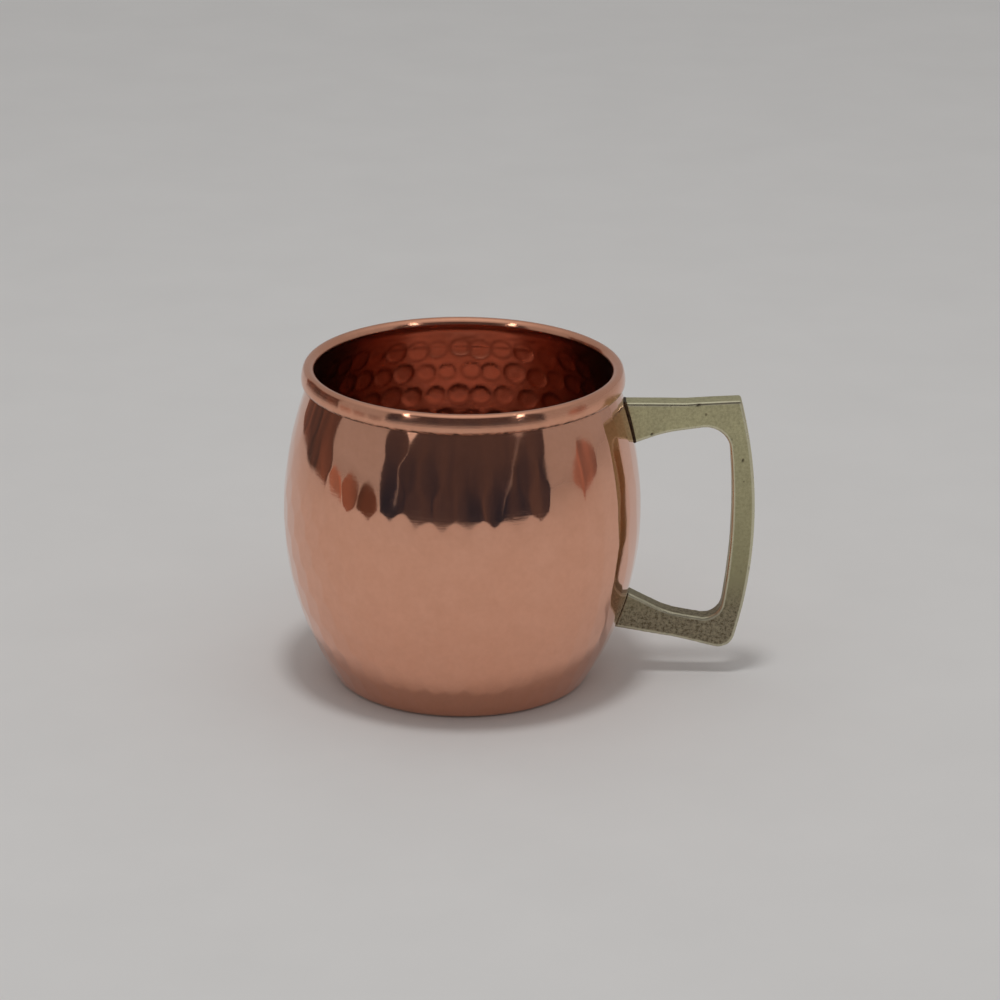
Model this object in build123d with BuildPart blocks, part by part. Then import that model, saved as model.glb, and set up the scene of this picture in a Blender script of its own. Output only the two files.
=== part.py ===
from build123d import *
import os
from math import acos, asin, atan2, degrees, sqrt

# A hammered copper mug with a cast brass handle, +Z up along the mug's axis. The origin is the
# centre of the surface it stands on, and the handle stands out along +X. Lengths are millimetres.

# Copper body, one sheet
sheet = 1.0            # thickness of the copper all over
mug_height = 84.3      # standing ring to the crown of the rolled rim
rim_radius = 41.5      # outside of the rolled rim
belly_radius = 46.3    # widest point of the wall, outside
belly_height = 45.0
lower_wall_radius = 82.0    # arcs of the wall's outside, centred level with the belly
upper_wall_radius = 95.0
base_corner_radius = 2.5
base_rise = 0.8        # the middle of the base is pushed up, so the mug stands on a ring
base_step_x = 21.0     # where the pushed-up middle ends
base_step_radius = 4.0

# Rolled rim: the sheet turns outwards over the top and its edge is tucked back under
rim_width = 3.5        # across the roll, from the mouth to the outside
rim_depth = 5.2        # crown to underside of the roll
neck_radius = 3.5      # where the wall straightens below the roll, on its outside
tuck_radius = 1.4      # outside radius at the underside of the roll
tuck_turn = 80.0       # degrees that the edge turns back towards the wall

# Cast brass handle, flat in the XZ plane; outline points are (x, z)
handle_width = 5.4     # along Y
handle_edge = 0.7      # rounding of its long edges
root_x = 34.0          # the feet are drawn to here, inside the mug, and coped off at the wall
crest_root = (root_x, 74.9)
crest_bend = (57.0, 74.9)
crest_corner = (71.4, 75.75)
spine_middle = (75.75, 43.2)
sole_corner = (70.2, 6.55)
sole_bend = (55.8, 10.15)
sole_root = (root_x, 13.95)
crest_corner_radius = 0.9
sole_corner_radius = 4.3
arm_bend_radius = 30.0     # slight bends along the arms' outer edges

# Finger opening, between the wall and the handle
lintel_root = (root_x, 60.25)
lintel_bend = (52.0, 66.75)
lintel_corner = (68.0, 69.15)
grip_middle = (69.77, 44.75)
sill_corner = (67.05, 15.0)
sill_bend = (53.55, 17.4)
sill_root = (root_x, 27.4)
lintel_bend_radius = 35.0
lintel_corner_radius = 6.5
sill_corner_radius = 4.8
sill_bend_radius = 24.0

# Brazing filler
braze_gap = 0.5        # between the handle's feet and the copper
braze_margin = 0.35    # how far the filler shows round each foot

lower_wall_centre_x = belly_radius - lower_wall_radius
upper_wall_centre_x = belly_radius - upper_wall_radius

# The base step is two equal arcs that turn down and back again.
base_step_turn = degrees(acos(1 - base_rise / (2 * base_step_radius + sheet)))

# The base corner touches the standing plane and the lower wall arc, which contains it.
corner_centre_x = lower_wall_centre_x + sqrt(
    (lower_wall_radius - base_corner_radius) ** 2 - (belly_height - base_corner_radius) ** 2
)
corner_turn = degrees(
    atan2(corner_centre_x - lower_wall_centre_x, belly_height - base_corner_radius)
)

# The neck arc lies outside the upper wall arc, touches it and ends vertical under the roll.
roll_centre = (rim_radius - rim_width / 2, mug_height - rim_width / 2)
neck_centre_x = roll_centre[0] - rim_width / 2 + sheet + neck_radius
neck_rise = sqrt(
    (upper_wall_radius + neck_radius) ** 2 - (neck_centre_x - upper_wall_centre_x) ** 2
)
neck_turn = degrees(asin(neck_rise / (upper_wall_radius + neck_radius)))
tuck_centre_z = mug_height - rim_depth + tuck_radius


def sheet_face(depth):
    """One face of the sheet from the axis to its tucked edge, a depth below its outer face."""
    middle = Line((0, base_rise + depth), (base_step_x, base_rise + depth))
    step_down = JernArc(middle @ 1, middle % 1, base_step_radius + depth, -base_step_turn)
    step_flat = JernArc(
        step_down @ 1, step_down % 1, base_step_radius + sheet - depth, base_step_turn
    )
    ring = Line(step_flat @ 1, (corner_centre_x, depth))
    corner = JernArc(ring @ 1, ring % 1, base_corner_radius - depth, corner_turn)
    lower = JernArc(corner @ 1, corner % 1, lower_wall_radius - depth, 90 - corner_turn)
    upper = JernArc(lower @ 1, lower % 1, upper_wall_radius - depth, neck_turn)
    neck = JernArc(upper @ 1, upper % 1, neck_radius + depth, -neck_turn)
    riser = Line(neck @ 1, ((neck @ 1).X, roll_centre[1]))
    roll = JernArc(riser @ 1, riser % 1, rim_width / 2 - sheet + depth, -180)
    fall = Line(roll @ 1, ((roll @ 1).X, tuck_centre_z))
    tuck = JernArc(fall @ 1, fall % 1, tuck_radius - sheet + depth, -tuck_turn)
    return middle @ 0, tuck @ 1


with BuildPart() as body:
    with BuildSketch(Plane.XZ):
        with BuildLine():
            outer_start, outer_end = sheet_face(0)
            inner_start, inner_end = sheet_face(sheet)
            Line(outer_start, inner_start)
            Line(outer_end, inner_end)
        make_face()
    revolve(axis=Axis.Z)

body.part.label = "body"


def filled_wall(growth):
    """The space inside the wall's outer face as one solid, grown outwards by growth."""
    bottom = 4.0
    top = 79.0
    lower_radius = lower_wall_radius + growth
    upper_radius = upper_wall_radius + growth
    lower_turn = degrees(asin((belly_height - bottom) / lower_radius))
    upper_turn = degrees(asin((top - belly_height) / upper_radius))
    with BuildPart() as filled:
        with BuildSketch(Plane.XZ):
            with BuildLine():
                lower = CenterArc((lower_wall_centre_x, belly_height), lower_radius, 0, -lower_turn)
                upper = CenterArc((upper_wall_centre_x, belly_height), upper_radius, 0, upper_turn)
                Polyline(lower @ 1, (0, bottom), (0, top), upper @ 1)
            make_face()
        revolve(axis=Axis.Z)
    return filled.part


copper = filled_wall(0)
coping = filled_wall(braze_gap)

# The handle is its outline less the finger opening, with its long edges rounded. Its two feet
# are coped to the wall's shape, and stand off it by the thickness of the filler.
with BuildSketch(Plane.XZ) as outline:
    with BuildLine():
        ThreePointArc(crest_corner, spine_middle, sole_corner)
        Polyline(sole_corner, sole_bend, sole_root, crest_root, crest_bend, crest_corner)
    make_face()
    for point, radius in (
        (crest_bend, arm_bend_radius),
        (crest_corner, crest_corner_radius),
        (sole_corner, sole_corner_radius),
        (sole_bend, arm_bend_radius),
    ):
        fillet(outline.vertices().sort_by_distance(point)[0], radius)

with BuildSketch(Plane.XZ) as finger_opening:
    with BuildLine():
        ThreePointArc(sill_corner, grip_middle, lintel_corner)
        Polyline(lintel_corner, lintel_bend, lintel_root, sill_root, sill_bend, sill_corner)
    make_face()
    for point, radius in (
        (lintel_bend, lintel_bend_radius),
        (lintel_corner, lintel_corner_radius),
        (sill_corner, sill_corner_radius),
        (sill_bend, sill_bend_radius),
    ):
        fillet(finger_opening.vertices().sort_by_distance(point)[0], radius)


def cast_bar(growth):
    """The handle before its feet are coped, grown by growth all round."""
    with BuildPart() as bar:
        with BuildSketch(Plane.XZ):
            add(outline.sketch)
            add(finger_opening.sketch, mode=Mode.SUBTRACT)
            offset(amount=growth)
        extrude(amount=handle_width / 2 + growth, both=True)
        side_edges = bar.edges().group_by(Axis.Y)
        fillet(side_edges[0] + side_edges[-1], handle_edge + growth)
    return bar.part


with BuildPart() as handle:
    add(cast_bar(0))
    add(coping, mode=Mode.SUBTRACT)

handle.part.label = "handle"

# The filler under each foot reaches a little beyond it on every side.
with BuildPart() as filler:
    add(cast_bar(braze_margin))
    add(coping, mode=Mode.INTERSECT)
    add(copper, mode=Mode.SUBTRACT)

with BuildPart() as upper_braze:
    add(filler.part)
    split(bisect_by=Plane.XY.offset(belly_height), keep=Keep.TOP)

upper_braze.part.label = "upper_braze"

with BuildPart() as lower_braze:
    add(filler.part)
    split(bisect_by=Plane.XY.offset(belly_height), keep=Keep.BOTTOM)

lower_braze.part.label = "lower_braze"

os.makedirs("parts", exist_ok=True)
for piece in (body, handle, upper_braze, lower_braze):
    export_step(piece.part, f"parts/{piece.part.label}.step")
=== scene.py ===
import math

import bpy
import numpy as np
from mathutils import Matrix, Vector, noise


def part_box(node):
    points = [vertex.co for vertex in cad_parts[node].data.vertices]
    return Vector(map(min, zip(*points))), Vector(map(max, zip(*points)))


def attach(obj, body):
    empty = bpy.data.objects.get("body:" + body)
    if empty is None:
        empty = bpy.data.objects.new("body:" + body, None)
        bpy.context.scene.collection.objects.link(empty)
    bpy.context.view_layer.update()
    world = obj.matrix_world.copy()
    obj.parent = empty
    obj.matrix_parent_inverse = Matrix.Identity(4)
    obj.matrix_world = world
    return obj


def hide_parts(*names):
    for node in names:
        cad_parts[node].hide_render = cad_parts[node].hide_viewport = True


# A hammered copper mug with a cast brass handle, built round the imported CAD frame. Lengths are
# metres, +Z is up along the mug's axis, and the handle stands out along +X.

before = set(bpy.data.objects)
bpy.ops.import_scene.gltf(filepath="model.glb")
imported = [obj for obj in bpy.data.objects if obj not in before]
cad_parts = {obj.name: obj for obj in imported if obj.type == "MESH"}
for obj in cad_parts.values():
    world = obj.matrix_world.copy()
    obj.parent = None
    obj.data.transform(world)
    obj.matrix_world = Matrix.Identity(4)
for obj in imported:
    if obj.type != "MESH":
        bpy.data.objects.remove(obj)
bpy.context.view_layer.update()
mm = 0.001
chance = np.random.default_rng(16)

# ---------------------------------------------------------------- sizes

# Copper sheet of the base and the barrel-shaped wall
body_low, body_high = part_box("body")
mug_height = body_high.z
belly_radius = (body_high.x - body_low.x) / 2
sheet = 1.0 * mm
belly_height = 45.0 * mm
lower_wall_radius = 82.0 * mm
upper_wall_radius = 95.0 * mm
base_corner_radius = 2.5 * mm
base_rise = 0.8 * mm            # the middle of the base is pushed up, inside a standing ring
base_step_x = 21.0 * mm
base_step_radius = 4.0 * mm

# Rolled rim, which is round over the top and flatter down its outside
rim_radius = 41.5 * mm
rim_width = 3.5 * mm
rim_depth = 5.2 * mm
neck_radius = 3.5 * mm
roll_side_radius = 8.0 * mm
roll_side_turn = math.radians(20)
tuck_radius = 1.4 * mm
tuck_turn = math.radians(62)

# Hammer marks
dents_round = 44
dent_row_pitch = 7.2 * mm
crease_height = 58.0 * mm       # a crease between two rows of dents runs round the wall here
columns = 12 * dents_round      # of the body's mesh

# Cast brass handle, flat in the XZ plane
handle_low, handle_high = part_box("handle")
handle_width = handle_high.y - handle_low.y
handle_edge = 0.7 * mm
braze_gap = 0.3 * mm            # between the handle's feet and the copper


def at(x, z):
    """A point in the XZ plane, from millimetres."""
    return np.array((x * mm, z * mm))


# ---------------------------------------------------------------- small helpers


def unit(vector):
    return vector / np.linalg.norm(vector, axis=-1, keepdims=True)


def smooth_step(low, high, value):
    t = np.clip((value - low) / (high - low), 0, 1)
    return t * t * (3 - 2 * t)


def noise_at(points, feature, offset=0.0):
    """Smooth noise from about -1 to 1 whose features are that many metres across."""
    shift = Vector((offset, offset * 0.7, offset * 1.3))
    return np.array([noise.noise(Vector(p) / feature + shift) for p in points])


def mesh_object(name, points, faces, normals=None, attributes=None):
    """A smooth shaded mesh with its own normals and point attributes, where it has them."""
    mesh = bpy.data.meshes.new(name)
    mesh.from_pydata([tuple(p) for p in points], [], faces)
    mesh.update()
    mesh.shade_smooth()
    for attribute_name, values in (attributes or {}).items():
        attribute = mesh.attributes.new(attribute_name, "FLOAT", "POINT")
        attribute.data.foreach_set("value", np.asarray(values, np.float32))
    if normals is not None:
        mesh.normals_split_custom_set_from_vertices([tuple(n) for n in normals])
    made = bpy.data.objects.new(name, mesh)
    bpy.context.scene.collection.objects.link(made)
    return made


# ---------------------------------------------------------------- copper body


def walk(start, heading, runs):
    """Points and headings along a chain of runs, each one a length, a turn and its parts."""
    x, z = start
    points = [(x, z)]
    headings = [heading]
    for length, turn, parts in runs:
        half = turn / parts / 2
        chord = length / parts * (math.sin(half) / half if half else 1)
        for _ in range(parts):
            x += chord * math.cos(heading + half)
            z += chord * math.sin(heading + half)
            heading += 2 * half
            points.append((x, z))
            headings.append(heading)
    return np.array(points), np.array(headings)


def arc_run(radius, turn, parts):
    return (radius * abs(turn), turn, parts)


lower_wall_centre_x = belly_radius - lower_wall_radius
upper_wall_centre_x = belly_radius - upper_wall_radius
roll_centre_z = mug_height - rim_width / 2
half_sheet = sheet / 2


def wall_radius(z):
    """Outside radius of the wall, before it is hammered, at a height."""
    radius = np.where(z < belly_height, lower_wall_radius, upper_wall_radius)
    return belly_radius - radius + np.sqrt(radius**2 - (z - belly_height) ** 2)


def sheet_runs():
    """The runs along the middle of the sheet, from the axis to its tucked edge."""
    step_turn = math.acos(1 - base_rise / (2 * base_step_radius + sheet))
    step_radius = base_step_radius + half_sheet
    step_end_x = base_step_x + 2 * step_radius * math.sin(step_turn)
    corner_x = lower_wall_centre_x + math.sqrt(
        (lower_wall_radius - base_corner_radius) ** 2 - (belly_height - base_corner_radius) ** 2
    )
    corner_turn = math.atan2(corner_x - lower_wall_centre_x, belly_height - base_corner_radius)
    neck_centre_x = rim_radius - rim_width + sheet + neck_radius
    neck_rise = math.sqrt(
        (upper_wall_radius + neck_radius) ** 2 - (neck_centre_x - upper_wall_centre_x) ** 2
    )
    neck_turn = math.asin(neck_rise / (upper_wall_radius + neck_radius))
    side_radius = roll_side_radius - half_sheet
    quarter_radius = rim_width / 2 - half_sheet
    shoulder_turn = math.pi / 2 - roll_side_turn
    side_width = side_radius * (1 - math.sin(shoulder_turn))
    shoulder_radius = (quarter_radius - side_width) / math.sin(shoulder_turn)
    side_drop = side_radius * math.cos(shoulder_turn)
    roll_drop = shoulder_radius * (1 - math.cos(shoulder_turn)) + side_drop
    return (
        (base_step_x, 0, 5),
        arc_run(step_radius, -step_turn, 3),
        arc_run(step_radius, step_turn, 3),
        (corner_x - step_end_x, 0, 2),
        arc_run(base_corner_radius - half_sheet, corner_turn, 6),
        arc_run(lower_wall_radius - half_sheet, math.pi / 2 - corner_turn, 80),
        arc_run(upper_wall_radius - half_sheet, neck_turn, 64),
        arc_run(neck_radius + half_sheet, -neck_turn, 4),
        (roll_centre_z - belly_height - neck_rise, 0, 1),
        arc_run(quarter_radius, -math.pi / 2, 6),
        arc_run(shoulder_radius, -shoulder_turn, 6),
        arc_run(side_radius, -roll_side_turn, 5),
        (rim_depth - tuck_radius - half_sheet - roll_drop, 0, 1),
        arc_run(tuck_radius - half_sheet, -tuck_turn, 5),
    )


runs = sheet_runs()
middle, headings = walk((0, base_rise + half_sheet), 0, runs)
distances = np.concatenate(([0], np.cumsum(np.linalg.norm(np.diff(middle, axis=0), axis=1))))
run_ends = np.cumsum([run[0] for run in runs])
wall_start, belly_place, wall_end, neck_end, riser_end = run_ends[4:9]

# Rows of dents, placed by their distance along the sheet
crease_place = belly_place + (upper_wall_radius - half_sheet) * math.asin(
    (crease_height - belly_height) / upper_wall_radius
)
rows_below = math.ceil((crease_place - wall_start) / dent_row_pitch)
first_row = crease_place - (rows_below - 0.5) * dent_row_pitch
dent_rows = math.ceil((wall_end - first_row) / dent_row_pitch) + 1

# Each dent has its own shift, depth and tilt, and raises its own dome on the inner face. The
# lowest rows are the least even.
each_dent = (dent_rows, dents_round)
uneven_rows = 3
unevenness = np.where(np.arange(dent_rows) < uneven_rows, 1.4, 1.0)[:, None]
dent_shift_across = chance.uniform(-0.45, 0.45, each_dent) * mm
dent_shift_along = chance.uniform(-0.45, 0.45, each_dent) * mm
dent_depth = chance.uniform(0.115, 0.135, each_dent) * mm
dent_tilt_across = chance.normal(0, 0.004, each_dent) * unevenness
dent_tilt_along = chance.normal(0, 0.005, each_dent) * unevenness
bump_height = chance.uniform(0.08, 0.15, each_dent) * mm
bump_radius = chance.uniform(2.6, 3.1, each_dent) * mm
# How dark the painted shade along each dome's edge is
bump_strength = chance.uniform(0.3, 1.0, each_dent)
crease_softness = 0.015 * mm
bump_edge_softness = 0.06
# How wide the painted shade along each dome's edge is
dome_edge_shade_width = 0.55 * mm

# Rows are staggered by half a dent, but beside the handle the dents stand in upright columns.
column_places = np.arange(dents_round)
columns_from_handle = np.minimum(column_places, dents_round - column_places)
column_stagger = 0.5 * smooth_step(5, 9, columns_from_handle)
beside_handle = 1 - 2 * column_stagger
first_column_place = -0.3

# A facet of flatness 0 is as curved as the wall, and one of flatness 1 is flat. Those below the
# crease height are flatter than those above it, so each of them cuts a rounded top into the row
# above. Beside the handle they are alike from top to bottom, and nearly as curved upright as
# the wall.
flatness_below = 0.90
flatness_above = 0.40
flatness_beside_handle = 0.65
flatness_spread = 0.08
upright_share = 1 - 0.6 * beside_handle
below_crease = np.arange(dent_rows)[:, None] < rows_below
dent_flatness = np.where(below_crease, flatness_below, flatness_above)
dent_flatness = dent_flatness + (flatness_beside_handle - dent_flatness) * beside_handle
dent_flatness += chance.uniform(-flatness_spread, flatness_spread, each_dent)


def near_dents(angle, distance, radius):
    """For the fifteen dents nearest to each point: row, column, and offsets across and along."""
    nearest_row = np.round((distance - first_row) / dent_row_pitch).astype(int)
    for row_step in (-2, -1, 0, 1, 2):
        row = np.clip(nearest_row + row_step, 0, dent_rows - 1)
        place = angle / (2 * math.pi) * dents_round - first_column_place
        odd_row = row % 2
        nearest_column = np.round(place - 0.25 * odd_row).astype(int)
        for column_step in (-1, 0, 1):
            column = (nearest_column + column_step) % dents_round
            stagger = column_stagger[column] * odd_row
            columns_across = place - nearest_column - column_step - stagger
            across = columns_across * 2 * math.pi / dents_round * radius
            along = distance - first_row - row * dent_row_pitch
            yield (
                row,
                column,
                across - dent_shift_across[row, column],
                along - dent_shift_along[row, column],
            )


def dent_fade(distance):
    """Hammering fades out at the base corner and just below the rolled rim."""
    rise = smooth_step(wall_start - 1.0 * mm, wall_start + 3.0 * mm, distance)
    return rise * (1 - smooth_step(wall_end - 2.0 * mm, wall_end, distance))


def facet_depth(angle, distance, radius):
    """How far the hammered facets lie below the wall's outer face."""
    total = 0
    for row, column, across, along in near_dents(angle, distance, radius):
        below_belly = first_row + row * dent_row_pitch < belly_place
        wall_curve = np.where(below_belly, lower_wall_radius, upper_wall_radius)
        drop_across = across**2 / (2 * radius)
        drop_along = along**2 / (2 * wall_curve)
        depth = (
            dent_depth[row, column]
            - dent_flatness[row, column] * (drop_across + drop_along * upright_share[column])
            + dent_tilt_across[row, column] * across
            + dent_tilt_along[row, column] * along
        )
        total = total + np.exp(depth / crease_softness)
    return np.maximum(crease_softness * np.log(total), 0) * dent_fade(distance)


def bump_rise(angle, distance, radius):
    """How far the domes behind the hammer blows stand out of the inner face."""
    highest = 0
    for row, column, across, along in near_dents(angle, distance, radius):
        # A flat-topped dome that meets the face at its radius, with its edge softened.
        share = 1 - (across**2 + along**2) ** 2 / bump_radius[row, column] ** 4
        dome = (share + np.sqrt(share**2 + bump_edge_softness**2)) / 2
        highest = np.maximum(highest, bump_height[row, column] * dome)
    smooth_band = 1 - smooth_step(wall_end - 5.5 * mm, wall_end - 4.0 * mm, distance)
    return highest * dent_fade(distance) * smooth_band


def painted_dome_edge_shade(angle, distance, radius):
    """How much painted shade each point of the inner face gets along the crease at the edge of a
    dome, from 0 to 1.
    """
    strongest = 0
    for row, column, across, along in near_dents(angle, distance, radius):
        off_edge = np.hypot(across, along) - bump_radius[row, column]
        ring_shade = np.exp(-((off_edge / dome_edge_shade_width) ** 2)) * bump_strength[row, column]
        strongest = np.maximum(strongest, ring_shade)
    return strongest * dent_fade(distance)


def sheet_section():
    """The section of the sheet, from the axis along its outer face and back along its inner face.

    For each point it gives the place, the outward normal, the distance along the sheet and the
    side, which is 1 on the outer face, 0 round the edge and -1 on the inner face.
    """
    right = np.stack((np.sin(headings), -np.cos(headings)), axis=1)
    forward = np.stack((np.cos(headings), np.sin(headings)), axis=1)
    edge_parts = 5
    edge_angles = np.linspace(0, math.pi, edge_parts + 1)[1:-1, None]
    edge = middle[-1] + half_sheet * (
        np.cos(edge_angles) * right[-1] + np.sin(edge_angles) * forward[-1]
    )
    points = np.concatenate((middle + half_sheet * right, edge, (middle - half_sheet * right)[::-1]))
    outwards = np.concatenate((right, unit(edge - middle[-1]), -right[::-1]))
    along = np.concatenate((distances, np.full(len(edge), distances[-1]), distances[::-1]))
    side = np.repeat((1.0, 0.0, -1.0), (len(middle), len(edge), len(middle)))
    return points, outwards, along, side


def hammered(angle, point_x, point_z, out_x, out_z, along, side):
    """Points of the hammered sheet, from points and normals of its smooth section."""
    on_wall = (along > wall_start - 2 * mm) & (along < wall_end + 1 * mm)
    radius = np.maximum(point_x, 10 * mm)
    facets = facet_depth(angle, along, radius)
    bumps = bump_rise(angle, along, radius)
    move = np.where(side > 0, -facets, bumps) * on_wall * (side != 0)
    reach = point_x + out_x * move
    return np.stack(
        (reach * np.cos(angle), reach * np.sin(angle), point_z + out_z * move), axis=-1
    )


def body_faces(ring_count):
    """Quads between the rings of the body, and a fan round each of the two poles on its axis."""
    first_pole = ring_count * columns
    last_ring = first_pole - columns
    faces = []
    for column in range(columns):
        after = (column + 1) % columns
        faces.append((first_pole, after, column))
        faces.append((first_pole + 1, last_ring + column, last_ring + after))
        for here in range(0, last_ring, columns):
            above = here + columns
            faces.append((here + column, here + after, above + after, above + column))
    return faces


def body_wear(angle, reach, distance, inside):
    """Where the copper shows its inner finish, grime with painted shade under the rim, and painted
    shade at the edges of the domes, from 0 to 1.
    """
    # Grime in the crease under the rolled rim with painted shade there, and a fainter painted shade
    # further down the upper wall.
    neck_grime_and_shade = smooth_step(wall_end - 1.3 * mm, wall_end + 0.3 * mm, distance) * 0.75
    neck_grime_and_shade += smooth_step(wall_end - 3.0 * mm, wall_end - 1.0 * mm, distance) * 0.25
    neck_grime_and_shade *= 1 - inside
    neck_grime_and_shade *= 1 - smooth_step(riser_end, riser_end + 0.3 * mm, distance)
    # Grime and painted shade on the underside of the tucked edge.
    sheet_end = distances[-1]
    tuck_grime_and_shade = smooth_step(sheet_end - 0.9 * mm, sheet_end - 0.3 * mm, distance)
    on_roll = smooth_step(neck_end, riser_end, distance) * inside
    return {
        "inside": inside * (1 - on_roll),
        "grime_and_shade": np.maximum(neck_grime_and_shade, tuck_grime_and_shade),
        "dome_edge_shade": painted_dome_edge_shade(angle, distance, reach) * inside,
    }, on_roll


def build_body():
    """The hammered body: its section's points as rings round the axis, and a pole at each end."""
    points, outwards, along, side = sheet_section()
    rings = slice(1, -1)
    angle = np.linspace(0, 2 * math.pi, columns, endpoint=False)[None, :]

    def surface(turn, shift):
        """The hammered surface, turned by an angle and shifted along the section."""
        tangent_x, tangent_z = -outwards[rings, 1:], outwards[rings, :1]
        onward = np.where(side[rings] >= 0, 1, -1)[:, None]
        return hammered(
            angle + turn,
            points[rings, :1] + tangent_x * shift,
            points[rings, 1:] + tangent_z * shift,
            outwards[rings, :1],
            outwards[rings, 1:],
            along[rings, None] + shift * onward,
            side[rings, None] + 0 * angle,
        )

    # The normals come from small steps over the surface, and the smooth section says only
    # which way is out.
    small = 0.1 * mm
    small_turn = small / belly_radius
    across = surface(small_turn, 0) - surface(-small_turn, 0)
    onwards = surface(0, small) - surface(0, -small)
    smooth = np.stack(
        np.broadcast_arrays(
            outwards[rings, :1] * np.cos(angle),
            outwards[rings, :1] * np.sin(angle),
            outwards[rings, 1:] + 0 * angle,
        ),
        axis=-1,
    )
    normals = unit(np.cross(across, onwards))
    normals *= np.sign((normals * smooth).sum(axis=-1, keepdims=True))

    poles = np.array(((0, 0, points[0, 1]), (0, 0, points[-1, 1])))
    all_points = np.concatenate((surface(0, 0).reshape(-1, 3), poles))
    all_normals = np.concatenate((normals.reshape(-1, 3), ((0, 0, -1), (0, 0, 1))))
    ring_count = len(points) - 2
    faces = body_faces(ring_count)

    flat_angle = np.concatenate((np.tile(angle[0], ring_count), (0, 0)))
    reach = np.concatenate((np.repeat(points[rings, 0], columns), (0, 0)))
    distance = np.concatenate((np.repeat(along[rings], columns), (0, 0)))
    inside = np.concatenate((np.repeat(side[rings] < 0, columns), (0, 1))).astype(float)
    wear, on_roll = body_wear(flat_angle, np.maximum(reach, 10 * mm), distance, inside)
    made = mesh_object("hammered_body", all_points, faces, all_normals, wear)
    made.data.materials.append(copper_material("polished_copper"))
    made.data.materials.append(copper_material("brushed_copper", brushed=True))
    on_rim = [min(on_roll[list(face)]) > 0 for face in faces]
    made.data.polygons.foreach_set("material_index", np.array(on_rim, np.int32))
    return made


# ---------------------------------------------------------------- cast brass handle


def run_of_points(start, end, parts):
    """Evenly spaced points of a straight run."""
    share = np.linspace(0, 1, parts + 1)[:, None]
    return start + (end - start) * share


def arc_of_points(centre, start, end, parts):
    """Points of the short arc from start to end about a centre."""
    first = math.atan2(*(start - centre)[::-1])
    last = math.atan2(*(end - centre)[::-1])
    sweep = (last - first + math.pi) % (2 * math.pi) - math.pi
    angles = first + sweep * np.linspace(0, 1, parts + 1)[:, None]
    radius = np.linalg.norm(start - centre)
    return centre + radius * np.concatenate((np.cos(angles), np.sin(angles)), axis=1)


def circle_through(a, b, c):
    """Centre and radius of the circle through three points."""
    matrix = 2 * np.array((b - a, c - a))
    centre = np.linalg.solve(matrix, (b @ b - a @ a, c @ c - a @ a))
    return centre, np.linalg.norm(a - centre)


# Mesh parts along the handle's edges, and round its section
foot_parts = 40
bend_parts = 10
arm_parts = 30
corner_parts = 24
spine_parts = 150
side_parts = 5
rounding_parts = 5
face_parts = 24


def arm_outline(root, bend, corner, bend_radius, corner_radius, spine, inward):
    """An arm's edge from its root to the spine, with the bend and the corner rounded.

    inward is 1 where the corner's centre lies to the left of the way out, and -1 to the right.
    """
    spine_centre, spine_radius = spine
    before = unit(bend - root)
    after = unit(corner - bend)
    left = np.array((-after[1], after[0])) * inward
    turn = math.asin(before[0] * after[1] - before[1] * after[0])
    reach = bend_radius * math.tan(abs(turn) / 2)
    bend_start = bend - before * reach
    bend_end = bend + after * reach
    bend_side = np.array((-before[1], before[0])) * math.copysign(1, turn)
    bend_centre = bend_start + bend_side * bend_radius

    line_start = bend + left * corner_radius
    offset = line_start - spine_centre
    half_b = offset @ after
    c = offset @ offset - (spine_radius - corner_radius) ** 2
    corner_centre = line_start + after * (-half_b + math.sqrt(half_b**2 - c))
    corner_start = corner_centre - left * corner_radius
    corner_end = spine_centre + unit(corner_centre - spine_centre) * spine_radius
    return np.concatenate(
        (
            run_of_points(root, bend_start, foot_parts)[:-1],
            arc_of_points(bend_centre, bend_start, bend_end, bend_parts)[:-1],
            run_of_points(bend_end, corner_start, arm_parts)[:-1],
            arc_of_points(corner_centre, corner_start, corner_end, corner_parts),
        )
    )


def edge_line(upper, middle_point, lower):
    """One long edge of the handle, from the upper root round the spine to the lower root."""
    spine = circle_through(upper["corner"], middle_point, lower["corner"])
    top = arm_outline(**upper, spine=spine, inward=-1)
    bottom = arm_outline(**lower, spine=spine, inward=1)
    back = arc_of_points(spine[0], top[-1], bottom[-1], spine_parts)
    return np.concatenate((top[:-1], back, bottom[::-1][1:]))


outer_edge = edge_line(
    {
        "root": at(34.0, 74.9),
        "bend": at(57.0, 74.9),
        "corner": at(71.4, 75.75),
        "bend_radius": 30.0 * mm,
        "corner_radius": 0.9 * mm,
    },
    at(75.75, 43.2),
    {
        "root": at(34.0, 13.95),
        "bend": at(55.8, 10.15),
        "corner": at(70.2, 6.55),
        "bend_radius": 30.0 * mm,
        "corner_radius": 4.3 * mm,
    },
)
inner_edge = edge_line(
    {
        "root": at(34.0, 60.25),
        "bend": at(52.0, 66.75),
        "corner": at(68.0, 69.15),
        "bend_radius": 35.0 * mm,
        "corner_radius": 6.5 * mm,
    },
    at(69.77, 44.75),
    {
        "root": at(34.0, 27.4),
        "bend": at(53.55, 17.4),
        "corner": at(67.05, 15.0),
        "bend_radius": 24.0 * mm,
        "corner_radius": 4.8 * mm,
    },
)


def normals_of(line, turn):
    """Unit normals of a line in its plane: turn is 1 for the left side and -1 for the right."""
    step = unit(np.gradient(line, axis=0))
    return np.stack((-step[:, 1], step[:, 0]), axis=1) * turn


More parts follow.
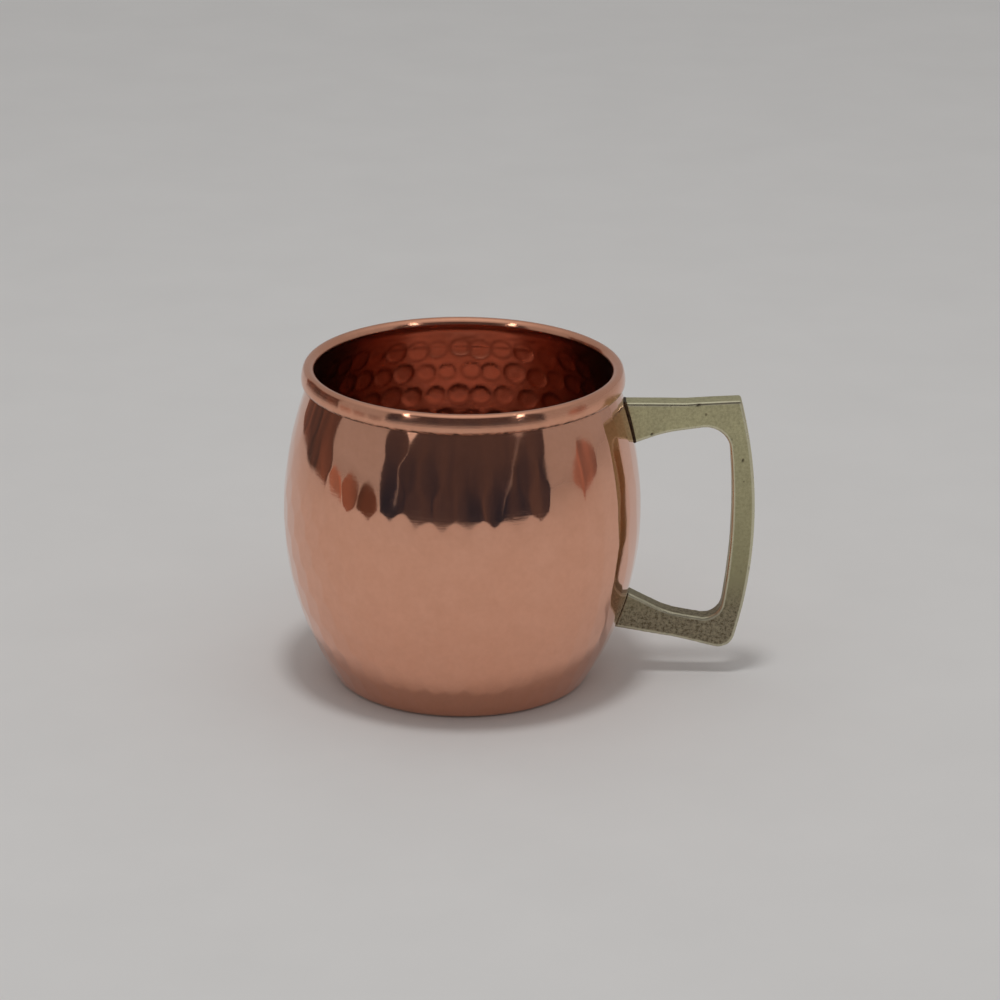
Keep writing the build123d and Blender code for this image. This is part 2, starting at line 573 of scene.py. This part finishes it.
def handle_ring():
    """The bar's section, from the middle of its outer side round to the same place.

    Each point has the part of the section it lies on, a value and its place along Y. The value
    is the share of the way across a face, and the inset from the edge line on a side.
    """
    flat = handle_width / 2 - handle_edge
    rounding = np.linspace(0, math.pi / 2, rounding_parts + 1)
    rounded = [
        (handle_edge * (1 - math.cos(turn)), flat + handle_edge * math.sin(turn))
        for turn in rounding
    ]
    half = [("outer", 0.0, y) for y in np.linspace(0, flat, side_parts + 1)[:-1]]
    half += [("outer", inset, y) for inset, y in rounded[:-1]]
    half += [("face", share, handle_width / 2) for share in np.linspace(0, 1, face_parts + 1)]
    half += [("inner", inset, y) for inset, y in rounded[::-1][1:]]
    half += [("inner", 0.0, y) for y in np.linspace(flat, 0, side_parts + 1)[1:]]
    mirrored = [(where, value, -y) for where, value, y in half[::-1][1:-1]]
    return half + mirrored


def handle_grid_of(ring):
    """Points of the smooth handle, by station along its edges and by place in the ring."""
    outer_in = normals_of(outer_edge, -1)
    inner_in = normals_of(inner_edge, 1)
    lines = []
    for where, value, y in ring:
        if where == "outer":
            line = outer_edge + outer_in * value
        elif where == "inner":
            line = inner_edge + inner_in * value
        else:
            start = outer_edge + outer_in * handle_edge
            end = inner_edge + inner_in * handle_edge
            line = start + (end - start) * value
        lines.append(np.stack((line[:, 0], np.full(len(line), y), line[:, 1]), axis=1))
    grid = np.stack(lines, axis=1)
    cope(grid, slice(0, foot_parts + 1))
    cope(grid, slice(-1, -foot_parts - 2, -1))
    return grid


def cope(grid, stations):
    """Starts the straight foot of each line at the wall, and spaces its points evenly again."""
    foot_points = grid[stations]
    start = foot_points[0].copy()
    end = foot_points[-1]
    direction = (end - start) / (end - start)[:, :1]
    rounds_to_settle = 12
    for _ in range(rounds_to_settle):
        reach = wall_radius(start[:, 2]) + braze_gap
        x = np.sqrt(reach**2 - start[:, 1] ** 2)
        start = end + direction * (x - end[:, 0])[:, None]
    share = np.linspace(0, 1, len(foot_points))[:, None, None]
    grid[stations] = start + (end - start) * share


def loft_faces(stations, count):
    """Quads between closed rings, with both ends closed by strips between mirrored points."""
    faces = []
    for station in range(stations - 1):
        here = station * count
        for index in range(count):
            after = (index + 1) % count
            faces.append((here + index, here + count + index, here + count + after, here + after))
    for first, flip in ((0, False), ((stations - 1) * count, True)):
        for index in range(count // 2):
            mirrored = first + (count - index - 1) % count, first + (count - index) % count
            corners = (first + index, first + index + 1, *mirrored)
            corners = tuple(dict.fromkeys(corners))
            faces.append(corners[::-1] if flip else corners)
    return faces


def grid_normals(grid):
    """Outward unit normals of a loft whose second direction is closed."""
    along = np.gradient(grid, axis=0)
    around = np.roll(grid, -1, axis=1) - np.roll(grid, 1, axis=1)
    return unit(np.cross(along, around))


def is_on_edge(where, value):
    """Whether a point of the handle's section lies on one of its rounded long edges."""
    if where == "face":
        return value <= 0.02 or value >= 0.98
    return value > 0


def cast_handle():
    """The handle with its cast surface, and the smooth grid of points under it."""
    ring = handle_ring()
    grid = handle_grid_of(ring)
    stations = len(grid)
    points = grid.reshape(-1, 3)
    normals = grid_normals(grid).reshape(-1, 3)
    height = points[:, 2]
    rough_cast = 1 - smooth_step(14 * mm, 30 * mm, height)
    # Duller metal with painted shade, darker towards the bottom.
    dulled_and_shaded = 1 - smooth_step(20 * mm, 72 * mm, height)
    on_edge = [is_on_edge(where, value) for where, value, _ in ring]
    # The side towards the mug gets painted shade.
    finger_side = [where == "inner" for where, _, _ in ring]

    # The surface lies a little under the smooth one, so that its waves and grain stay inside it.
    depth = 0.05 * mm
    waves = noise_at(points, 9 * mm) * 0.05 * mm
    grain = noise_at(points, 1.1 * mm, 3.0) * 0.06 * mm + noise_at(points, 0.6 * mm, 7.0) * 0.03 * mm
    relief = np.minimum(waves + grain * (0.15 + rough_cast), depth)
    pit_field = noise_at(points, 1.3 * mm, 11.0)
    pits = smooth_step(0.68, 0.84, pit_field) * 0.22 * mm
    points = points + normals * (relief - depth - pits)[:, None]
    wear = {
        "rough_cast": rough_cast,
        "dulled_and_shaded": dulled_and_shaded,
        "worn_edge": np.tile(on_edge, stations),
        "inner_side_shade": np.tile(finger_side, stations),
        "pit": smooth_step(0.66, 0.82, pit_field),
    }
    faces = loft_faces(stations, len(ring))
    return mesh_object("cast_handle", points, faces, attributes=wear), grid


# ---------------------------------------------------------------- brazed joints


outward_x = np.array((1.0, 0.0, 0.0))


def wall_normals(points):
    """Outward unit normals of the smooth wall at points near it."""
    z = points[:, 2]
    centre_x = np.where(z < belly_height, lower_wall_centre_x, upper_wall_centre_x)
    reach = np.hypot(points[:, 0], points[:, 1])
    slope = unit(np.stack((reach - centre_x, z - belly_height), axis=1))
    return np.stack(
        (slope[:, 0] * points[:, 0] / reach, slope[:, 0] * points[:, 1] / reach, slope[:, 1]),
        axis=1,
    )


def braze_bead(name, foot_ring, fullness, seed):
    """The filler round a foot: an uneven fillet from the copper up to the brass."""
    out = wall_normals(foot_ring)
    tangent = unit(np.roll(foot_ring, -1, axis=0) - np.roll(foot_ring, 1, axis=0))
    away = unit(np.cross(tangent, out))
    away *= np.sign(((foot_ring - foot_ring.mean(axis=0)) * away).sum(axis=1).mean())
    uneven = noise_at(foot_ring, 1.6 * mm, seed)
    margin = ((0.16 + 0.10 * uneven) * mm * fullness)[:, None]
    rise = ((0.10 + 0.08 * uneven) * mm * fullness)[:, None]
    # Share of the gap below the foot, and share of the margin beyond it, down the fillet
    fillet = ((0.75, 1.0), (0.45, 0.75), (0.10, 0.42))
    buried = braze_gap + 0.15 * mm
    rings = [foot_ring - out * buried + away * margin]
    rings += [
        foot_ring - out * (braze_gap * drop) + away * margin * spread for drop, spread in fillet
    ]
    rings += [
        foot_ring + outward_x * rise - away * 0.02 * mm,
        foot_ring - out * 0.02 * mm - away * 0.05 * mm,
    ]
    grid = np.stack(rings)
    return mesh_object(name, grid.reshape(-1, 3), loft_faces(len(rings), len(foot_ring)))


# ---------------------------------------------------------------- materials


class Shader:
    """A material whose nodes are added one call at a time and joined by their inputs."""

    def __init__(self, name):
        self.material = bpy.data.materials.new(name)
        self.material.use_nodes = True
        self.tree = self.material.node_tree
        self.tree.nodes.clear()
        self.place = self.node("ShaderNodeTexCoord").outputs["Object"]

    def node(self, kind, inputs=None, **settings):
        made = self.tree.nodes.new(kind)
        for key, value in settings.items():
            setattr(made, key, value)
        for key, value in (inputs or {}).items():
            if isinstance(value, bpy.types.NodeSocket):
                self.tree.links.new(value, made.inputs[key])
            else:
                made.inputs[key].default_value = value
        return made

    def noise(self, feature, detail=3.0, roughness=0.55, stretch=(1, 1, 1)):
        """Noise from 0 to 1 with features of that many metres, stretched along the axes."""
        scaled = self.node(
            "ShaderNodeMapping", {"Vector": self.place, "Scale": tuple(1 / s for s in stretch)}
        )
        return self.node(
            "ShaderNodeTexNoise",
            {
                "Vector": scaled.outputs[0],
                "Scale": 1 / feature,
                "Detail": detail,
                "Roughness": roughness,
            },
        ).outputs["Fac"]

    def ring_lines(self, width):
        """Fine noise that runs round the mug's axis in lines of that width."""
        parted = self.node("ShaderNodeSeparateXYZ", {0: self.place})
        x, y, z = parted.outputs
        squares = self.math("ADD", self.math("MULTIPLY", x, x), self.math("MULTIPLY", y, y))
        section = self.node("ShaderNodeCombineXYZ", {0: self.math("SQRT", squares), 1: z})
        return self.node(
            "ShaderNodeTexNoise", {"Vector": section.outputs[0], "Scale": 1 / width, "Detail": 1.0}
        ).outputs["Fac"]

    def remap(self, value, low, high, to_low=0.0, to_high=1.0):
        return self.node(
            "ShaderNodeMapRange",
            {
                "Value": value,
                "From Min": low,
                "From Max": high,
                "To Min": to_low,
                "To Max": to_high,
            },
        ).outputs[0]

    def math(self, operation, first, second=0.0):
        return self.node(
            "ShaderNodeMath", {0: first, 1: second}, operation=operation
        ).outputs[0]

    def mix(self, share, first, second):
        return self.node(
            "ShaderNodeMix", {0: share, 6: first, 7: second}, data_type="RGBA"
        ).outputs[2]

    def attribute(self, name):
        return self.node("ShaderNodeAttribute", attribute_name=name).outputs["Fac"]

    def bump(self, height, distance, strength=1.0, normal=None):
        inputs = {"Height": height, "Distance": distance, "Strength": strength}
        if normal is not None:
            inputs["Normal"] = normal
        return self.node("ShaderNodeBump", inputs).outputs[0]

    def metal(self, colour, roughness, normal, metallic=1.0, coat=0.0, brushing=0.0):
        """The finished surface. Brushing round the axis spreads highlights across its lines."""
        inputs = {
            "Base Color": colour,
            "Metallic": metallic,
            "Roughness": roughness,
            "Normal": normal,
            "Coat Weight": coat,
            "Coat Roughness": 0.04,
        }
        if brushing:
            quarter_turn = 0.25
            lines = self.node("ShaderNodeTangent", direction_type="RADIAL", axis="Z")
            inputs["Tangent"] = lines.outputs[0]
            inputs["Anisotropic"] = brushing
            inputs["Anisotropic Rotation"] = quarter_turn
        surface = self.node("ShaderNodeBsdfPrincipled", inputs)
        self.node("ShaderNodeOutputMaterial", {"Surface": surface.outputs[0]})
        return self.material

    def glow(self, colour, strength=1.0):
        """A surface that only shines."""
        surface = self.node("ShaderNodeEmission", {"Color": colour, "Strength": strength})
        self.node("ShaderNodeOutputMaterial", {"Surface": surface.outputs[0]})
        return self.material


def rgb(red, green, blue):
    return (red, green, blue, 1.0)


def copper_material(name, brushed=False):
    """Polished copper with stains, grime and painted shade under the rim, painted shade round the
    edges of the domes, and a duller inner face.
    """
    s = Shader(name)
    inside = s.attribute("inside")
    grime_and_shade = s.attribute("grime_and_shade")
    dome_edge_shade = s.attribute("dome_edge_shade")
    clouds = s.noise(14 * mm, 2.0)
    stains = s.noise(4 * mm, 4.0, 0.6)
    mottle = s.noise(1.3 * mm, 4.0)
    polish_lines = s.noise(0.5 * mm, 2.0, stretch=(30, 30, 1))
    turning_lines = s.ring_lines(0.16 * mm)
    bright = s.mix(clouds, rgb(0.86, 0.44, 0.30), rgb(0.80, 0.385, 0.25))
    inner = s.mix(clouds, rgb(0.80, 0.47, 0.37), rgb(0.74, 0.425, 0.325))
    colour = s.mix(inside, bright, inner)
    colour = s.mix(s.remap(stains, 0.40, 0.75, 0.0, 0.30), colour, rgb(0.70, 0.33, 0.20))
    colour = s.mix(s.remap(mottle, 0.35, 0.70, 0.0, 0.14), colour, rgb(0.62, 0.29, 0.18))
    # Painted shade: a dark ring along the crease at each dome's edge on the inner face.
    colour = s.mix(s.math("MULTIPLY", dome_edge_shade, 0.75), colour, rgb(0.30, 0.13, 0.09))
    # Patchy grime with painted shade under the rim, darkening the copper nearly to black.
    patchy_grime_and_shade = s.math("MULTIPLY", grime_and_shade, s.remap(mottle, 0.35, 0.6, 0.25, 1.0))
    colour = s.mix(patchy_grime_and_shade, colour, rgb(0.06, 0.032, 0.022))
    gloss = s.remap(clouds, 0.3, 0.7, 0.05, 0.08)
    gloss = s.math("ADD", gloss, s.remap(polish_lines, 0.4, 0.7, 0.0, 0.02))
    gloss = s.math("ADD", gloss, s.math("MULTIPLY", inside, 0.10))
    gloss = s.math("ADD", gloss, s.math("MULTIPLY", patchy_grime_and_shade, 0.35))
    normal = s.bump(polish_lines, 0.004 * mm, 0.4)
    normal = s.bump(mottle, 0.015 * mm, 0.4, normal)
    if brushed:
        normal = s.bump(turning_lines, 0.02 * mm, 1.0, normal)
        return s.metal(colour, s.math("ADD", gloss, 0.06), normal, brushing=1.0)
    normal = s.bump(turning_lines, 0.002 * mm, 1.0, normal)
    return s.metal(colour, gloss, normal, coat=0.4)


def brass_material():
    """Dull cast brass, rougher towards its foot and darker there from duller metal with painted
    shade, with pits, paler worn edges and painted shade on the side towards the mug.
    """
    s = Shader("cast_brass")
    rough_cast = s.attribute("rough_cast")
    dulled_and_shaded = s.attribute("dulled_and_shaded")
    worn_edge = s.attribute("worn_edge")
    pit = s.attribute("pit")
    inner_side_shade = s.attribute("inner_side_shade")
    clouds = s.noise(6 * mm, 3.0)
    grain = s.noise(0.9 * mm, 4.0, 0.75)
    file_lines = s.noise(0.25 * mm, 2.0, stretch=(1, 1, 20))
    colour = s.mix(clouds, rgb(0.71, 0.67, 0.395), rgb(0.585, 0.55, 0.345))
    # Duller metal with painted shade, darker towards the bottom of the handle.
    colour = s.mix(dulled_and_shaded, colour, rgb(0.40, 0.37, 0.22))
    cast_colour = s.mix(
        s.remap(grain, 0.38, 0.64), rgb(0.15, 0.12, 0.075), rgb(0.54, 0.48, 0.355)
    )
    colour = s.mix(rough_cast, colour, cast_colour)
    # Painted shade on the side towards the mug.
    colour = s.mix(s.math("MULTIPLY", inner_side_shade, 0.35), colour, rgb(0.22, 0.17, 0.10))
    speckle = s.remap(grain, 0.40, 0.66, 0.0, 0.5)
    colour = s.mix(speckle, colour, rgb(0.30, 0.265, 0.15))
    colour = s.mix(s.math("MULTIPLY", worn_edge, 0.6), colour, rgb(0.74, 0.71, 0.54))
    spots = s.node(
        "ShaderNodeTexVoronoi", {"Vector": s.place, "Scale": 1 / (2.6 * mm), "Randomness": 1.0}
    )
    spot_size = s.node("ShaderNodeSeparateColor", {"Color": spots.outputs["Color"]}).outputs[0]
    spot_reach = s.remap(spot_size, 0.72, 1.0, 0.0, 0.18)
    small_pits = s.remap(s.math("SUBTRACT", spot_reach, spots.outputs["Distance"]), 0.0, 0.05)
    dark = s.math("MAXIMUM", s.math("MULTIPLY", small_pits, 0.5), s.math("MULTIPLY", pit, 0.85))
    colour = s.mix(dark, colour, rgb(0.07, 0.055, 0.03))
    gloss = s.remap(clouds, 0.3, 0.7, 0.40, 0.47)
    gloss = s.math("ADD", gloss, s.math("MULTIPLY", rough_cast, 0.10))
    gloss = s.math("SUBTRACT", gloss, s.math("MULTIPLY", worn_edge, 0.16))
    normal = s.bump(file_lines, 0.01 * mm, 0.5)
    grain_height = s.math("MULTIPLY", grain, s.remap(rough_cast, 0, 1, 0.25, 1.0))
    grain_height = s.math("MULTIPLY", grain_height, s.remap(worn_edge, 0, 1, 1.0, 0.3))
    normal = s.bump(grain_height, 0.12 * mm, 0.7, normal)
    normal = s.bump(s.math("MULTIPLY", small_pits, -1.0), 0.1 * mm, 0.6, normal)
    return s.metal(colour, gloss, normal)


def braze_material():
    """Dark, lumpy brazing filler."""
    s = Shader("tarnished_braze")
    lumps = s.noise(0.9 * mm, 4.0)
    colour = s.mix(s.remap(lumps, 0.35, 0.7), rgb(0.035, 0.025, 0.016), rgb(0.12, 0.08, 0.045))
    gloss = s.remap(lumps, 0.3, 0.7, 0.45, 0.6)
    return s.metal(colour, gloss, s.bump(lumps, 0.1 * mm, 0.6), 0.8)


# ---------------------------------------------------------------- pieces

body = build_body()
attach(body, "root")
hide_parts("body")

handle, handle_grid = cast_handle()
handle.data.materials.append(brass_material())
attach(handle, "root")
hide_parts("handle")

# The lower foot's ring runs the other way round, so it is turned over to face outwards too.
braze = braze_material()
lower_ring = np.roll(handle_grid[-1][::-1], 1, axis=0)
for joint, ring, fullness, seed in (
    ("upper", handle_grid[0], 1.0, 21.0),
    ("lower", lower_ring, 0.5, 34.0),
):
    bead = braze_bead(f"{joint}_braze_bead", ring, fullness, seed)
    bead.data.materials.append(braze)
    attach(bead, "root")
    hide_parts(f"{joint}_braze")

# ---------------------------------------------------------------- floor, light and camera


def floor_material():
    """Plain pale floor, with very faint blotches."""
    s = Shader("pale_floor")
    colour = rgb(0.75, 0.74, 0.73)
    paler = rgb(*(1.07 * level for level in colour[:3]))
    blotches = s.noise(0.04, 3.0)
    normal = s.bump(blotches, 0.2 * mm, 0.1)
    return s.metal(s.mix(blotches, colour, paler), 0.9, normal, metallic=0.0)


def lamp_material(name, brightness):
    s = Shader(name)
    return s.glow(rgb(1.0, 0.98, 0.96), brightness)


def room_material(name, darker, lighter, width, upper=None):
    """A dull glow that varies in soft upright bands, and turns to the upper colour with height."""
    s = Shader(name)
    bands = s.noise(width, 2.0, stretch=(1, 1, 5))
    colour = s.mix(s.remap(bands, 0.35, 0.65), darker, lighter)
    if upper is not None:
        height = s.node("ShaderNodeSeparateXYZ", {0: s.place}).outputs[2]
        colour = s.mix(s.remap(height, 0.04, 0.30, 0.0, 0.8), colour, upper)
    return s.glow(colour)


def card(name, material, radius, bearing_from, bearing_to, low, high, lean=0.0, rounded=False):
    """An upright curved card round the mug. Bearings are degrees right of the camera's side.

    Only the metal's reflections show it. lean moves its foot round by that many degrees, and a
    rounded card narrows to nothing at its top and bottom.
    """
    rows = 16
    parts = 24
    centre = (bearing_from + bearing_to) / 2
    half_width = (bearing_to - bearing_from) / 2
    points = []
    for share in np.linspace(0, 1, rows + 1):
        narrowing = math.sqrt(abs(math.sin(math.pi * share))) if rounded else 1.0
        for place in np.linspace(-1, 1, parts + 1):
            angle = math.radians(centre + lean * (1 - share) + place * half_width * narrowing)
            height = low + (high - low) * share
            points.append((radius * math.sin(angle), -radius * math.cos(angle), height))
    faces = []
    for row in range(rows):
        for part in range(parts):
            here = row * (parts + 1) + part
            faces.append((here, here + 1, here + parts + 2, here + parts + 1))
    made = mesh_object(name, points, faces)
    made.data.materials.append(material)
    made.visible_camera = False
    made.visible_diffuse = False
    made.visible_shadow = False


floor_half = 6.0
floor_height = -0.02 * mm
floor_corners = ((-1, -1), (1, -1), (1, 1), (-1, 1))
floor = mesh_object(
    "floor",
    [(x * floor_half, y * floor_half, floor_height) for x, y in floor_corners],
    [(0, 1, 2, 3)],
)
floor.data.materials.append(floor_material())

# The room that the copper reflects: a dark front, brown and warm things at the sides, and two
# lamps. Each lamp leans, so that the rolled rim shows it as an upright spot, and stands on a
# thin strip with a bracket at its top.
dark_room = room_material(
    "dark_room", rgb(0.022, 0.030, 0.050), rgb(0.095, 0.076, 0.074), 0.14, rgb(0.085, 0.068, 0.066)
)
brown_side = room_material("brown_side", rgb(0.06, 0.05, 0.05), rgb(0.22, 0.12, 0.09), 0.12)
warm_low = room_material("warm_low", rgb(0.17, 0.12, 0.11), rgb(0.42, 0.23, 0.18), 0.05)
front_radius = 0.72
side_radius = 0.50
card("front_dark", dark_room, front_radius, -53, 57, 0.001, 0.85)
card("side_brown", brown_side, side_radius, -138, -93, 0.001, 0.28)
for step, level in enumerate((1.0, 0.6, 0.32)):
    darker = rgb(0.24 * level, 0.15 * level, 0.12 * level)
    lighter = rgb(0.42 * level, 0.22 * level, 0.16 * level)
    warm = room_material(f"warm_{step}", darker, lighter, 0.05)
    first = -92 + 12.5 * step
    card(f"side_warm_{step}", warm, side_radius, first, first + 12, -0.006, 0.066, rounded=True)
card("right_warm", warm_low, side_radius, 74, 92, 0.001, 0.13, rounded=True)

lamp_glow = lamp_material("lamp_glow", 13.0)
strip_glow = lamp_material("strip_glow", 0.65)
stand_radius = 0.48
for side, lamp_bearing, foot_bearing, top_bearing, bracket_low in (
    ("left", -58, -43, -36, 0.215),
    ("right", 59, 23, 39, 0.235),
):
    for part, glow, centre, half_width, low, high, lean in (
        ("lamp", lamp_glow, lamp_bearing, 0.7, 0.27, 0.90, -lamp_bearing / 3),
        ("bracket", strip_glow, top_bearing, 5.5, bracket_low, 0.30, 0.0),
        ("strip", strip_glow, top_bearing, 0.13, 0.05, 0.24, foot_bearing - top_bearing),
    ):
        first = centre - half_width
        last = centre + half_width
        rounded = part == "bracket"
        card(f"{side}_{part}", glow, stand_radius, first, last, low, high, lean, rounded)


# Brightness of the studio, by the upward part of the direction looked in
sky_levels = ((0.0, 0.33), (0.06, 0.36), (0.25, 0.35), (0.6, 0.35), (0.85, 0.48), (1.0, 0.74))


def build_world():
    """A plain pale studio, brightest overhead."""
    world = bpy.data.worlds.new("studio")
    world.use_nodes = True
    tree = world.node_tree
    tree.nodes.clear()
    direction = tree.nodes.new("ShaderNodeTexCoord")
    parted = tree.nodes.new("ShaderNodeSeparateXYZ")
    ramp = tree.nodes.new("ShaderNodeValToRGB")
    background = tree.nodes.new("ShaderNodeBackground")
    output = tree.nodes.new("ShaderNodeOutputWorld")
    elements = ramp.color_ramp.elements
    while len(elements) < len(sky_levels):
        elements.new(0.5)
    for element, (place, level) in zip(elements, sky_levels):
        element.position = place
        element.color = rgb(level, level * 0.99, level * 0.98)
    tree.links.new(direction.outputs["Generated"], parted.inputs[0])
    tree.links.new(parted.outputs["Z"], ramp.inputs[0])
    tree.links.new(ramp.outputs[0], background.inputs["Color"])
    tree.links.new(background.outputs[0], output.inputs["Surface"])
    bpy.context.scene.world = world


def build_overhead_light():
    """A soft disk of light above the mug and towards the camera, aimed at the mug's foot."""
    light = bpy.data.lights.new("overhead", "AREA")
    light.shape = "DISK"
    light.size = 0.18
    light.energy = 2.65
    overhead = bpy.data.objects.new("overhead", light)
    place = Vector((-0.02, -0.17, 1.1))
    overhead.location = place
    overhead.rotation_euler = (-place).to_track_quat("-Z", "Y").to_euler()
    overhead.visible_glossy = False
    bpy.context.scene.collection.objects.link(overhead)


# The camera, as fitted to the photograph's outline of the mug
distance_away = 1.0
look_at = Vector((0, 0, 0.045))
elevation = math.radians(20.433)
focal_length = 138.8
sensor_width = 36.0
turn_left = math.radians(-0.557)
tip_up = math.radians(0.121)
roll = math.radians(-0.359)


def build_camera():
    """The scene's camera, in front of the mug and above it."""
    camera_data = bpy.data.cameras.new("camera")
    camera_data.lens = focal_length
    camera_data.sensor_width = sensor_width
    camera = bpy.data.objects.new("camera", camera_data)
    forward = Vector((0, math.cos(elevation), -math.sin(elevation)))
    right = Vector((1, 0, 0))
    up = right.cross(forward)
    turn = Matrix.Rotation(turn_left, 3, up)
    forward, right = turn @ forward, turn @ right
    tip = Matrix.Rotation(tip_up, 3, right)
    forward, up = tip @ forward, tip @ up
    spin = Matrix.Rotation(roll, 3, forward)
    right, up = spin @ right, spin @ up
    pose = Matrix((right, up, -forward)).transposed().to_4x4()
    back = Vector((0, -math.cos(elevation), math.sin(elevation)))
    pose.translation = look_at + back * distance_away
    camera.matrix_world = pose
    bpy.context.scene.collection.objects.link(camera)
    bpy.context.scene.camera = camera


build_world()
build_overhead_light()
build_camera()
bpy.context.scene.view_settings.view_transform = "Standard"
